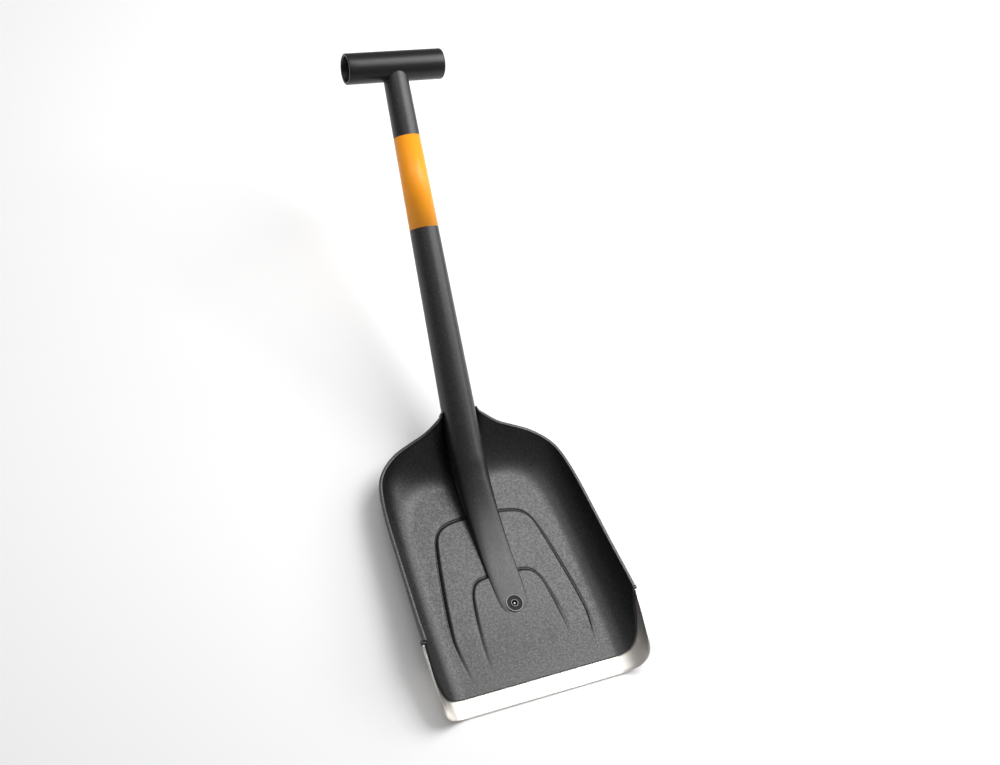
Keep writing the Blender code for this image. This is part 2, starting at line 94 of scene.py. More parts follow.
def softenEdges(piece, width, segments, angle):
    step = piece.modifiers.new("soft edges", "BEVEL")
    step.width = width * mm
    step.segments = segments
    step.limit_method = "ANGLE"
    step.angle_limit = math.radians(angle)
    step.harden_normals = False


def spunShape(profile, sides, place):
    # profile holds radius and height; one that starts off the axis is a closed ring
    bm = bmesh.new()
    verts = [bm.verts.new(Vector((r, 0, z)) * mm) for r, z in profile]
    edges = [bm.edges.new(pair) for pair in zip(verts, verts[1:])]
    if profile[0][0] > 0:
        edges.append(bm.edges.new((verts[-1], verts[0])))
    bmesh.ops.spin(bm, geom=verts + edges, cent=(0, 0, 0), axis=(0, 0, 1),
                   angle=math.radians(360), steps=sides, use_merge=True)
    bmesh.ops.remove_doubles(bm, verts=bm.verts, dist=0.000001)
    bmesh.ops.transform(bm, matrix=place, verts=bm.verts)
    bmesh.ops.recalc_face_normals(bm, faces=bm.faces)
    return bm


def cutAway(piece, profile, place, sharp):
    # takes a turned shape out of a piece for good
    bm = spunShape(profile, rivet["sides"], place)
    tool = bpy.data.objects.new("cutting tool", bpy.data.meshes.new("cutting tool"))
    bm.to_mesh(tool.data)
    bm.free()
    bpy.context.scene.collection.objects.link(tool)
    cut = piece.modifiers.new("cut", "BOOLEAN")
    cut.operation, cut.solver, cut.object = "DIFFERENCE", "EXACT", tool
    shaped = bpy.data.meshes.new_from_object(
        piece.evaluated_get(bpy.context.evaluated_depsgraph_get()))
    piece.modifiers.remove(cut)
    bpy.data.objects.remove(tool, do_unlink=True)
    piece.data = shaped
    shaped.shade_smooth()
    shaped.set_sharp_from_angle(angle=math.radians(sharp))


def nodeKit(name):
    material = bpy.data.materials.new(name)
    material.use_nodes = True
    tree = material.node_tree
    shader = tree.nodes["Principled BSDF"]
    place = tree.nodes.new("ShaderNodeTexCoord").outputs["Object"]
    return material, tree, shader, place


def noise(tree, place, scale, detail=3.0, roughness=0.5, stretch=None):
    if stretch:
        mapping = tree.nodes.new("ShaderNodeMapping")
        mapping.inputs["Scale"].default_value = stretch
        tree.links.new(place, mapping.inputs["Vector"])
        place = mapping.outputs["Vector"]
    node = tree.nodes.new("ShaderNodeTexNoise")
    node.inputs["Scale"].default_value = scale
    node.inputs["Detail"].default_value = detail
    node.inputs["Roughness"].default_value = roughness
    tree.links.new(place, node.inputs["Vector"])
    return node.outputs["Fac"]


def ramp(tree, value, low, high, start, end):
    # maps value from low..high to start..end, held at both ends
    node = tree.nodes.new("ShaderNodeMapRange")
    sockets = ("From Min", "From Max", "To Min", "To Max")
    for socket, number in zip(sockets, (low, high, start, end)):
        node.inputs[socket].default_value = number
    tree.links.new(value, node.inputs["Value"])
    return node.outputs["Result"]


def tint(tree, value, base, light):
    # base is a colour or another node's output
    node = tree.nodes.new("ShaderNodeMix")
    node.data_type = "RGBA"
    if isinstance(base, tuple):
        node.inputs[6].default_value = (*base, 1)
    else:
        tree.links.new(base, node.inputs[6])
    node.inputs[7].default_value = (*light, 1)
    tree.links.new(value, node.inputs[0])
    return node.outputs[2]


def maths(tree, operation, first, second):
    node = tree.nodes.new("ShaderNodeMath")
    node.operation = operation
    for socket, item in zip(node.inputs, (first, second)):
        if isinstance(item, (int, float)):
            socket.default_value = item
        else:
            tree.links.new(item, socket)
    return node.outputs[0]


def bump(tree, shader, height, distance, strength):
    node = tree.nodes.new("ShaderNodeBump")
    node.inputs["Distance"].default_value = distance
    node.inputs["Strength"].default_value = strength
    tree.links.new(height, node.inputs["Height"])
    tree.links.new(node.outputs["Normal"], shader.inputs["Normal"])


def clouds(tree, place, look, scale, detail=3.0, roughness=0.5):
    # slow drift between the two tones of a finish
    value = ramp(tree, noise(tree, place, scale, detail, roughness), 0.3, 0.7, 0, 1)
    return tint(tree, value, look["dark"], look["light"])


def scuffs(tree, pattern, share):
    # thin marks where the pattern peaks
    return maths(tree, "MULTIPLY", ramp(tree, pattern, 0.68, 0.76, 0, 1), share)


scoopFinish = {"dark": (0.0028, 0.0034, 0.0038), "light": (0.0050, 0.0054, 0.0056),
               "rough": (0.32, 0.47), "grainScale": 780, "grainDepth": 0.00013,
               "scuff": (0.05, 0.049, 0.047), "gloss": 0.6}


def mouldedPlastic(name, look):
    material, tree, shader, place = nodeKit(name)
    grain = noise(tree, place, look["grainScale"], 3.0, 0.65)
    colour = clouds(tree, place, look, 22, 4.0, 0.6)
    speck = noise(tree, place, look["grainScale"] * 0.8, 1.0, 0.5)
    bright = maths(tree, "MULTIPLY", ramp(tree, speck, 0.54, 0.70, 0, 1), 0.45)
    colour = tint(tree, bright, colour, look["scuff"])
    # fine scuffs that run from the cutting edge towards the grip
    scratch = noise(tree, place, 90, 3.0, 0.7, (9, 0.5, 4))
    colour = tint(tree, scuffs(tree, scratch, 0.2), colour, look["scuff"])
    tree.links.new(colour, shader.inputs["Base Color"])
    gloss = noise(tree, place, look["grainScale"] * 0.6, 2.0, 0.6)
    tree.links.new(ramp(tree, gloss, 0.35, 0.65, *look["rough"]), shader.inputs["Roughness"])
    shader.inputs["Specular IOR Level"].default_value = look["gloss"]
    bump(tree, shader, grain, look["grainDepth"], 0.65)
    return material


edgeFinish = {"dark": (0.70, 0.665, 0.625), "light": (0.88, 0.85, 0.81), "rough": (0.32, 0.50),
              "knock": (0.36, 0.35, 0.34)}


def brushedAluminium(name, look):
    material, tree, shader, place = nodeKit(name)
    brush = noise(tree, place, 260, 4.0, 0.6, (0.06, 4, 4))
    knock = noise(tree, place, 240, 3.0, 0.6, (1, 3, 1))
    colour = tint(tree, scuffs(tree, knock, 0.4), clouds(tree, place, look, 12), look["knock"])
    tree.links.new(colour, shader.inputs["Base Color"])
    tree.links.new(ramp(tree, brush, 0.3, 0.7, *look["rough"]), shader.inputs["Roughness"])
    shader.inputs["Metallic"].default_value = 1.0
    bump(tree, shader, brush, 0.00004, 0.6)
    return material


shaftFinish = {"dark": (0.0034, 0.0038, 0.0042), "light": (0.0056, 0.0059, 0.0062),
               "rough": (0.38, 0.45), "grainScale": 820, "grainDepth": 0.00010,
               "scuff": (0.045, 0.045, 0.044), "gloss": 0.62}
gripFinish = {"dark": (0.0028, 0.0032, 0.0036), "light": (0.0045, 0.0048, 0.0052),
              "rough": (0.34, 0.40), "grainScale": 1100, "grainDepth": 0.00004,
              "scuff": (0.02, 0.02, 0.02), "gloss": 0.42}
bandFinish = {"dark": (0.92, 0.31, 0.010), "light": (0.97, 0.36, 0.018),
              "scratch": (0.98, 0.55, 0.16), "rough": (0.32, 0.46)}


def printedFilm(name, look):
    material, tree, shader, place = nodeKit(name)
    scratch = noise(tree, place, 160, 3.0, 0.7, (6, 0.6, 3))
    colour = tint(tree, scuffs(tree, scratch, 0.35), clouds(tree, place, look, 30), look["scratch"])
    tree.links.new(colour, shader.inputs["Base Color"])
    tree.links.new(ramp(tree, noise(tree, place, 220, 3.0), 0.3, 0.7, *look["rough"]),
                   shader.inputs["Roughness"])
    shader.inputs["Specular IOR Level"].default_value = 0.3
    bump(tree, shader, noise(tree, place, 1700, 2.0), 0.00003, 0.7)
    return material


washerFinish = {"dark": (0.10, 0.10, 0.105), "light": (0.17, 0.17, 0.175), "rough": (0.32, 0.45)}
screwFinish = {"dark": (0.5, 0.5, 0.5), "light": (0.68, 0.68, 0.67), "rough": (0.25, 0.4)}


def plainMetal(name, look):
    material, tree, shader, place = nodeKit(name)
    tree.links.new(clouds(tree, place, look, 700), shader.inputs["Base Color"])
    tree.links.new(ramp(tree, noise(tree, place, 1800, 2.0), 0.3, 0.7, *look["rough"]),
                   shader.inputs["Roughness"])
    shader.inputs["Metallic"].default_value = 0.85
    bump(tree, shader, noise(tree, place, 2600, 2.0), 0.00003, 0.7)
    return material


# heights in mm between which the black gives way to bare metal: on the rivet head the black is rubbed
# off there; on the mandrel the black below is painted shade deep in the bore
headFinish = {"black": (0.010, 0.0105, 0.011), "bare": (0.36, 0.36, 0.35), "wear": (7.5, 7.78)}
# mandrel: its own bright steel at the tip, painted black below 6.4 mm as shade in the rivet's bore
stemSteelAndShade = {"black": (0.010, 0.0105, 0.011), "bare": (0.9, 0.9, 0.88), "wear": (6.4, 6.9)}


def wearAndPaintedShadeBlack(name, look):
    # black rubbed bare where it stands proud; on the mandrel the black below is painted shade and the
    # bare top is its own steel
    material, tree, shader, place = nodeKit(name)
    split = tree.nodes.new("ShaderNodeSeparateXYZ")
    tree.links.new(place, split.inputs[0])
    low, high = look["wear"]
    # share of bare colour, rising with height; below it the black, which on the mandrel is painted
    # shade
    bareShare = ramp(tree, split.outputs["Z"], low * mm, high * mm, 0, 1)
    patches = ramp(tree, noise(tree, place, 500, 3.0), 0.3, 0.6, 0.7, 1)
    bare = maths(tree, "MULTIPLY", bareShare, patches)
    tree.links.new(tint(tree, bare, look["black"], look["bare"]), shader.inputs["Base Color"])
    tree.links.new(ramp(tree, bareShare, 0, 1, 0.55, 0.35), shader.inputs["Roughness"])
    shader.inputs["Specular IOR Level"].default_value = 0.2
    bump(tree, shader, noise(tree, place, 1500, 2.0), 0.00003, 0.6)
    return material


scoopPlastic = mouldedPlastic("scoop plastic", scoopFinish)
edgeMetal = brushedAluminium("wear edge aluminium", edgeFinish)
shaftCoat = mouldedPlastic("shaft coat", shaftFinish)
gripPlastic = mouldedPlastic("grip plastic", gripFinish)
bandFilm = printedFilm("band film", bandFinish)
washerMetal = plainMetal("rivet metal", washerFinish)
headBlack = wearAndPaintedShadeBlack("rivet black", headFinish)
# mandrel steel with painted shade: black low in the bore, bright at its tip
stemPaintedShade = wearAndPaintedShadeBlack("stem steel with painted shade", stemSteelAndShade)
screwSteel = plainMetal("stem steel", screwFinish)
print("materials made")


shaft = {"neckY": 300.8, "neckZ": 52.5, "neckRadius": 17.6, "topRadius": 13.2, "sides": 64,
         "topY": 619.0, "topFromGrip": 26, "tubeRings": 24, "ringsPerRow": 4, "levelOff": 34,
         "tipReach": 8.0, "tipThinning": 0.30, "tipTurns": (20, 38, 54, 68, 79, 87), "sharp": 30,
         # foot: y, top z, bottom z, half width, squareness
         "foot": [(262.0, 52.9, 12.0, 18.2, 2.0), (240.0, 41.0, 4.0, 18.1, 2.2),
                  (222.0, 31.8, 2.6, 17.8, 2.3), (205.0, 24.0, 2.4, 17.4, 2.6),
                  (188.0, 18.2, 2.4, 17.1, 2.9), (170.0, 13.9, 2.4, 16.9, 3.2),
                  (150.0, 10.5, 2.4, 16.8, 3.6), (131.0, 8.9, 2.4, 16.7, 4.0),
                  (112.0, 8.0, 2.4, 16.3, 4.4), (97.0, 7.4, 2.4, 15.7, 4.4),
                  (91.0, 6.95, 2.5, 15.3, 3.9), (86.0, 6.35, 2.6, 14.9, 3.4)]}
slope = math.atan2(gripMid.z - shaft["neckZ"], gripMid.y - edgeY - shaft["neckY"])
taper = ((shaft["neckRadius"] - shaft["topRadius"])
         / (gripMid.y - edgeY - shaft["topFromGrip"] * math.cos(slope) - shaft["neckY"]))


def axisZ(y):
    return shaft["neckZ"] + (y - shaft["neckY"]) * math.tan(slope)


def shaftRadius(y):
    return shaft["neckRadius"] - (y - shaft["neckY"]) * taper


def shaftRing(bm, y, z, halfHeight, halfWidth, lean, squareness=2.0):
    # one closed ring of the shaft, its top leaning back along the axis
    made = bmesh.ops.create_circle(bm, segments=shaft["sides"], radius=1.0)
    for vert in made["verts"]:
        c, s = vert.co.x, vert.co.y
        across = halfWidth * math.copysign(abs(c) ** (2 / squareness), c)
        up = halfHeight * math.copysign(abs(s) ** (2 / squareness), s)
        vert.co = spot(across, y - up * math.sin(lean), z + up * math.cos(lean))
    return made["verts"]


def loftRings(bm, rings):
    for a, b in zip(rings, rings[1:]):
        both = set(a) | set(b)
        edges = {e for v in both for e in v.link_edges
                 if (e.verts[0] in a and e.verts[1] in a) or (e.verts[0] in b and e.verts[1] in b)}
        bmesh.ops.bridge_loops(bm, edges=list(edges))


def makeShaft():
    bm = bmesh.new()
    rings = []
    rows = shaft["foot"]
    footY = rows[0][0]
    for step in range(shaft["tubeRings"] + 1):
        y = shaft["topY"] + (footY - shaft["topY"]) * step / shaft["tubeRings"]
        rings.append(shaftRing(bm, y, axisZ(y), shaftRadius(y), shaftRadius(y), slope))
    for step in range(1, (len(rows) - 1) * shaft["ringsPerRow"] + 1):
        y, top, bottom, half, squareness = curvePoint(rows, step / shaft["ringsPerRow"])
        level = between(footY - y, 0, shaft["levelOff"])
        lean = slope * (1 - level)
        height = (top - bottom) / 2 * (math.cos(slope) + (1 - math.cos(slope)) * level)
        rings.append(shaftRing(bm, y, (top + bottom) / 2, height, half, lean, squareness))
    y, top, bottom, half, squareness = rows[-1]
    for turn in shaft["tipTurns"]:          # rounded tip that thins into the scoop's floor
        angle = math.radians(turn)
        lift = (top - bottom) * (1 - shaft["tipThinning"] * math.sin(angle))
        width = half - shaft["tipReach"] * (1 - math.cos(angle))
        rings.append(shaftRing(bm, y - shaft["tipReach"] * math.sin(angle), bottom + lift / 2,
                               lift / 2, width, 0, squareness))
    loftRings(bm, rings)
    for end in (rings[0], rings[-1]):
        bmesh.ops.contextual_create(bm, geom=end)
    return finishPiece("shaftTube", bm, shaftCoat, "shaft", shaft["sharp"])


shaftTube = makeShaft()
print("shaft made")


band = {"startY": 466.0, "endY": 552.5, "lift": 0.06, "thickness": 0.4, "sharp": 38}


def makeBand():
    bm = bmesh.new()
    rings = []
    for y in (band["startY"], band["endY"]):
        radius = shaftRadius(y) + band["lift"]
        rings.append(shaftRing(bm, y, axisZ(y), radius, radius, slope))
    loftRings(bm, rings)
    sleeve = finishPiece("colourBand", bm, bandFilm, "band", band["sharp"])
    skin = sleeve.modifiers.new("film", "SOLIDIFY")
    skin.thickness = band["thickness"] * mm
    skin.offset = -1


makeBand()
print("band made")


grip = {"half": 52.7, "radius": 15.8, "bore": 12.9, "depth": 34.0, "edge": 1.1,
        "roundSteps": 6, "lengthSteps": 5, "sides": 96, "sharp": 40}


def makeGrip():
    bm = bmesh.new()
    half, edge, bottom = grip["half"], grip["edge"], grip["half"] - grip["depth"]
    # radius and distance from the middle: floor of the bore, its tapering wall, its mouth
    bore = grip["bore"]
    profile = [(0, bottom), (bore - 2.2, bottom), (bore - 1.4, bottom + 0.8),
               (bore - 0.25, half - 1.4), (bore + 0.25, half - 0.35), (bore + 0.9, half)]
    for step in range(grip["roundSteps"] + 1):
        angle = math.radians(90) * step / grip["roundSteps"]
        profile.append((grip["radius"] - edge + edge * math.sin(angle),
                        half - edge + edge * math.cos(angle)))
    for step in range(1, grip["lengthSteps"]):
        profile.append((grip["radius"], (half - edge) * (1 - step / grip["lengthSteps"])))
    full = profile + [(r, -x) for r, x in reversed(profile)]
    verts = [bm.verts.new(Vector((x, 0, r)) * mm) for r, x in full]
    edges = [bm.edges.new(pair) for pair in zip(verts, verts[1:])]
    bmesh.ops.spin(bm, geom=verts + edges, cent=(0, 0, 0), axis=(1, 0, 0),
                   angle=math.radians(360), steps=grip["sides"], use_merge=True)
    bmesh.ops.remove_doubles(bm, verts=bm.verts, dist=0.000001)
    bmesh.ops.translate(bm, verts=bm.verts, vec=gripMid * mm)
    finishPiece("gripTube", bm, gripPlastic, "t_grip", grip["sharp"])


makeGrip()
print("grip made")


scoop = {"wall": 2.6, "floor": 4.4, "drop": 1.5, "dropY": (34, 110),
         "clearance": 0.7, "clearReach": 75, "middleY": 100, "sharp": 32,
         "spineStart": 60, "spineEnd": 118.0, "spineBend": 0.6, "centreX": 4, "centreReach": 9,
         # the two panels: height, y over which they rise, shape of the step and groove round them
         "outerStep": 2.2, "outerY": (26, 104), "innerStep": 1.5, "innerY": (30, 104),
         "stepSpan": (-1.6, 2.2), "groove": 0.42, "grooveAt": 1.9, "grooveWidth": 1.15,
         # rows: how many in the nose, where along the list it ends, how many behind it
         "noseRows": 22, "noseEnd": 2.35, "bodyRows": 96,
         "neckLip": 0.55, "neckRows": (12.0, 14.0),      # the lip narrows at the neck
         "tooth": (4.8, 4.0, 5.0), "toothPlace": (112.55, 69.6, 38.6), "toothBevel": 0.7,
         # from the cutting edge round to the neck: rim x y z, floor edge x y, turn of the wall,
         # then where the row crosses the inner and the outer panel's edge, x y each
         "rows": [
             (109.8, -12.0, 43.4, 79.0, -12.0, 90, 45.0, -12.0, 62.0, -12.0),
             (109.8, 30.0, 43.4, 79.0, 30.0, 90, 44.8, 30.0, 66.5, 30.0),
             (109.8, 68.0, 43.4, 79.0, 68.0, 90, 43.8, 62.0, 71.0, 64.0),
             (109.2, 92.0, 41.2, 78.7, 92.0, 89, 42.0, 84.0, 69.4, 90.0),
             (107.6, 124.0, 38.4, 78.0, 124.0, 87, 39.4, 102.0, 65.0, 120.0),
             (106.2, 157.0, 36.2, 77.0, 156.0, 84, 37.2, 112.5, 59.8, 150.0),
             (103.6, 204.0, 33.2, 71.5, 200.0, 78, 34.0, 119.6, 54.8, 173.0),
             (98.5, 236.0, 31.4, 61.5, 219.0, 71, 30.6, 123.6, 51.4, 182.0),
             (90.0, 252.5, 31.0, 52.0, 225.5, 66, 27.0, 125.6, 46.4, 188.2),
             (75.0, 265.5, 32.2, 41.5, 228.0, 59, 22.8, 126.8, 39.4, 191.8),
             (58.0, 273.0, 35.2, 32.0, 228.5, 54, 18.7, 127.3, 31.4, 193.8),
             (42.0, 278.0, 40.2, 24.0, 227.5, 51, 14.4, 127.4, 24.0, 194.7),
             (29.0, 284.0, 46.8, 18.0, 226.0, 50, 11.0, 127.4, 18.0, 195.0),
             (20.2, 291.0, 50.8, 15.0, 225.0, 50, 9.2, 127.4, 15.0, 195.0),
             (17.9, 297.0, 54.0, 12.6, 224.5, 50, 7.6, 127.4, 12.6, 195.0),
             (12.2, 299.5, 55.5, 8.5, 224.0, 50, 5.2, 127.4, 8.5, 195.0),
             (6.0, 300.6, 56.0, 4.2, 224.0, 50, 2.6, 127.4, 4.2, 195.0),
             (0.0, 301.0, 56.0, 0.0, 224.0, 50, 0.0, 127.4, 0.0, 195.0)],
         # side view of the nose: y at which each height starts
         "nose": [(17.9, 0.0), (17.9, 6.0), (19.6, 10.6), (24.0, 14.8), (31.0, 19.6), (42.0, 25.0),
                  (54.0, 30.0), (61.0, 34.2), (66.0, 38.4), (69.6, 41.4), (70.6, 44.5)]}


def alongZ(rows, z):
    # y at height z on a side view given as (y, z) rows
    for (y0, z0), (y1, z1) in zip(rows, rows[1:]):
        if z <= z1:
            return y0 + (y1 - y0) * max(z - z0, 0) / (z1 - z0)
    return rows[-1][0]


def baseZ(y):
    return scoop["floor"] - scoop["drop"] * between(y, *scoop["dropY"])


def clearOfShaft(x, y, z, extra):
    # lowers a point that would lie inside the shaft
    radius = shaftRadius(y) + extra
    if abs(x) >= radius or y < shaft["neckY"] - scoop["clearReach"]:
        return z
    under = axisZ(y) - math.sqrt(radius ** 2 - x ** 2) / math.cos(slope)
    return max(min(z, under), baseZ(y) - extra + scoop["clearance"])


# mm either side of a panel's edge
stepSpots = (-2.4, -1.6, -1.0, -0.3, 0.4, 1.1, 1.8, 2.4, 3.1, 3.9, 4.8)
floorColumns = ([("spine", 0.0), ("spine", 0.35), ("spine", 0.7)]
                + [("inner", d) for d in stepSpots]
                + [("panel", 0.35), ("panel", 0.65)]
                + [("outer", d) for d in stepSpots]
                + [("margin", 0.4), ("margin", 0.7)])
wallSteps = 20
# section of the rim's lip: mm outwards and up
lipShape = ((0.0, -0.55), (0.12, -0.12), (0.5, 0.0), (1.5, 0.05), (2.4, 0.0), (2.95, -0.3),
            (3.1, -0.8), (3.1, -3.2), (2.75, -4.0))


def stepShape(fromEdge):
    # share of a panel's height left, with a shallow groove at the foot of its step
    groove = math.exp(-((fromEdge - scoop["grooveAt"]) / scoop["grooveWidth"]) ** 2)
    return 1 - between(fromEdge, *scoop["stepSpan"]) - scoop["groove"] * groove


def scoopRow(place):
    return curvePoint(scoop["rows"], place)


def insidePoint(row, column, spineY, ownY=None):
    # a point of the inner surface; ownY overrides the y of a point on the floor
    rx, ry, rz, fx, fy, turn, ix, iy, ox, oy = row
    kind, share = column
    inner, outer, edge = Vector((ix, iy)), Vector((ox, oy)), Vector((fx, fy))
    spine = Vector((0, spineY))
    if kind == "wall":
        full = math.radians(max(turn, 1))
        angle = full * share
        across = math.sin(angle) / math.sin(full)
        rise = (1 - math.cos(angle)) / (1 - math.cos(full))
        base = baseZ(fy)
        return Vector((fx + (rx - fx) * across, fy + (ry - fy) * across, base + (rz - base) * rise))
    fade, inFade = 0.0, 0.0           # share of each panel's height that the point gets
    if kind == "spine":
        flat = spine.lerp(inner, share * (1 + stepSpots[0] / max(inner.length, scoop["centreReach"])))
        fade, inFade = 1.0, 1.0
    elif kind == "inner":
        way = (outer - inner).normalized() if inner.x > scoop["centreX"] else Vector((0, 1))
        flat = inner + way * share
        fade, inFade = 1.0, stepShape(share)
    elif kind == "panel":
        flat, fade = inner.lerp(outer, share), 1.0
    elif kind == "outer":
        way = (edge - outer).normalized() if outer.x > scoop["centreX"] else Vector((0, 1))
        flat, fade = outer + way * share, stepShape(share)
    else:
        flat = outer.lerp(edge, share)
    flat.x = max(flat.x, 0) if row[0] > 0.01 else 0
    flat.y = flat.y if ownY is None else ownY
    lift = scoop["outerStep"] * between(flat.y, *scoop["outerY"]) * fade
    lift += scoop["innerStep"] * between(flat.y, *scoop["innerY"]) * inFade
    return Vector((flat.x, flat.y, baseZ(flat.y) + lift))


def placeAtY(y):
    # where along the rows the rim has that y; the first four rows only
    low, high = 0.0, 3.0
    for _ in range(30):
        mid = (low + high) / 2
        if scoopRow(mid)[1] < y:
            low = mid
        else:
            high = mid
    return low


def insideGrid(columns):
    # the inner surface from the nose back to the middle of the neck, and each row's lip width
    spans, first, noseRows = len(scoop["rows"]) - 1, scoop["noseEnd"], scoop["noseRows"]
    places = [first + (spans - first) * i / scoop["bodyRows"] for i in range(scoop["bodyRows"] + 1)]

    def spineAt(place, floorY):
        start = scoop["spineStart"]
        if floorY < start:
            return floorY
        reach = (place / spans) ** scoop["spineBend"]
        return min(floorY, start + (scoop["spineEnd"] - start) * reach)

    backRow = scoopRow(first)
    grid = []
    for i in range(noseRows):
        line = []
        for column in columns:
            back = insidePoint(backRow, column, spineAt(first, backRow[4]))
            front = alongZ(scoop["nose"], back.z)
            y = front + (back.y - front) * (i / noseRows)
            point = insidePoint(scoopRow(placeAtY(y)), column, y, y)
            line.append(Vector((point.x, y, point.z)))
        grid.append(line)
    for place in places:
        row = scoopRow(place)
        grid.append([insidePoint(row, column, spineAt(place, row[4])) for column in columns])
    lipReach = [1.0] * noseRows
    lipReach += [1 - scoop["neckLip"] * between(place, *scoop["neckRows"]) for place in places]
    return grid, lipReach


def outsideLine(line, before, after, last):
    # every second wall point and the middle of the floor, pushed out by the wall's thickness
    level = 0.02
    floorCount = len(floorColumns)
    smooth = [Vector(p) for p in line]
    for j in range(floorCount):
        smooth[j].z = baseZ(smooth[j].y)      # no panels underneath
    outside = []
    for j in range(len(line) - 1, floorCount - 1, -2):
        along = after[j] - before[j]
        up = line[min(j + 1, len(line) - 1)] - smooth[j - 1]
        normal = along.cross(up).normalized()
        if normal.z > level or (normal.z > -level and normal.x < 0):
            normal.negate()
        if last:
            normal.x = 0
            normal.normalize()
        outside.append(smooth[j] + normal * scoop["wall"])
    return outside + [smooth[0] - Vector((0, 0, scoop["wall"]))]


def lipLine(rim, before, after, reach, last):
    along = after - before
    outward = Vector((along.y, -along.x, 0)).normalized()
    if outward.dot(Vector((rim.x, rim.y - scoop["middleY"], 0))) < 0:
        outward.negate()
    if last:
        outward = Vector((0, 1, 0))
    return [rim + outward * out * reach + Vector((0, 0, up)) for out, up in lipShape]


def clearedPoint(point, extra):
    return Vector((point.x, point.y, clearOfShaft(point.x, point.y, point.z, extra)))


def shellLine(grid, i, reach):
    # one whole row of the shell: inner skin, lip, outer skin
    last = i == len(grid) - 1
    line, before, after = grid[i], grid[max(i - 1, 0)], grid[min(i + 1, len(grid) - 1)]
    gap, far, lipEnd = scoop["clearance"], scoop["clearance"] + scoop["wall"], len(lipShape) - 1
    inner = [clearedPoint(p, gap) for p in line]
    lip = [clearedPoint(p, gap * (1 - k / lipEnd) + far * k / lipEnd)
           for k, p in enumerate(lipLine(line[-1], before[-1], after[-1], reach, last))]
    outer = [clearedPoint(p, far) for p in outsideLine(line, before, after, last)[1:]]
    whole = inner[:-1] + lip + outer
    if last:
        for point in whole:
            point.x = 0
    return whole


def makeScoop():
    columns = floorColumns + [("wall", i / wallSteps) for i in range(wallSteps + 1)]
    grid, lipReach = insideGrid(columns)
    lines = [shellLine(grid, i, lipReach[i]) for i in range(len(grid))]
    bm = bmesh.new()
    width = len(lines[0])
    made = bmesh.ops.create_grid(bm, x_segments=len(grid) - 1, y_segments=width - 1, size=1.0)
    ordered = sorted(made["verts"], key=lambda v: (round(v.co.x, 5), round(v.co.y, 5)))
    for k, vert in enumerate(ordered):
        vert.co = spot(*lines[k // width][k % width])
    # close the nose between the two skins, which part in the middle of the lip, then mirror
    front = ordered[:width]
    middle = len(columns) - 1 + len(lipShape) // 2
    chains = [front[:middle + 1], front[middle + 1:]]
    edges = [bm.edges.get(pair) for chain in chains for pair in zip(chain, chain[1:])]
    bmesh.ops.bridge_loops(bm, edges=[edge for edge in edges if edge])
    for vert in bm.verts:
        if abs(vert.co.x) < 0.00002:
            vert.co.x = 0
    bmesh.ops.mirror(bm, geom=bm.verts[:] + bm.edges[:] + bm.faces[:], axis="X", merge_dist=0.00001)
    bmesh.ops.dissolve_degenerate(bm, edges=bm.edges, dist=0.000001)
    return finishPiece("scoopShell", bm, scoopPlastic, "blade", scoop["sharp"])


def addCatchTeeth(piece):
    # a small tooth behind each tip of the wear edge
    bm = bmesh.new()
    bm.from_mesh(piece.data)
    x, y, z = scoop["toothPlace"]
    for side in (-1, 1):
        tooth = bmesh.ops.create_cube(bm, size=1.0)["verts"]
        bmesh.ops.scale(bm, verts=tooth, vec=Vector(scoop["tooth"]) * mm)
        bmesh.ops.translate(bm, verts=tooth, vec=spot(side * x, y, z))
        edges = list({edge for vert in tooth for edge in vert.link_edges})
        bmesh.ops.bevel(bm, geom=edges, offset=scoop["toothBevel"] * mm, segments=3, profile=0.5,
                        material=-1, affect="EDGES")
    bm.to_mesh(piece.data)
    bm.free()
    piece.data.shade_smooth()
    piece.data.set_sharp_from_angle(angle=math.radians(scoop["sharp"]))


scoopShell = makeScoop()
print("scoop made:", len(scoopShell.data.polygons), "faces")


wearEdge = {"thickness": 1.5, "gap": 0.3, "half": 79.0, "reach": 30.8, "height": 39.0,
            "acrossSteps": 112, "deepSteps": 12, "flatShare": 0.35, "bevel": 0.35, "sharp": 40,
            "tipZ": 38.9, "tipSquash": 0.1, "leastDepth": 0.8,
            # side view: where each height starts at the front and stops at the back
            "front": [(0.0, -1.0), (0.0, 9.0), (1.4, 13.5), (3.8, 18.6), (7.0, 22.2), (11.5, 25.0),
                      (18.0, 27.6), (28.0, 30.0), (40.0, 32.9), (52.0, 35.9), (62.0, 38.3),
                      (66.4, 39.3)],
            "back": [(45.0, -1.0), (45.0, 0.0), (66.0, 34.0), (67.2, 37.5), (66.8, 39.4)]}


def edgeSection(u):
    # x and z of the sheet's outer face, from the middle (u = 0) round to the tip (u = 1)
    offset = scoop["wall"] + wearEdge["gap"] + wearEdge["thickness"]
    half, flat, tip = wearEdge["half"], wearEdge["flatShare"], wearEdge["tipZ"]
    if u < flat:
        return half * u / flat, scoop["floor"] - offset
    angle = math.radians(90) * ((u - flat) / (1 - flat))
    nx, nz = math.sin(angle) / wearEdge["reach"], -math.cos(angle) / wearEdge["height"]
    size = math.hypot(nx, nz)
    x = half + wearEdge["reach"] * math.sin(angle) + nx / size * offset
    z = scoop["floor"] + wearEdge["height"] * (1 - math.cos(angle)) + nz / size * offset
    return x, min(z, tip + (z - tip) * wearEdge["tipSquash"]) if z > tip else z


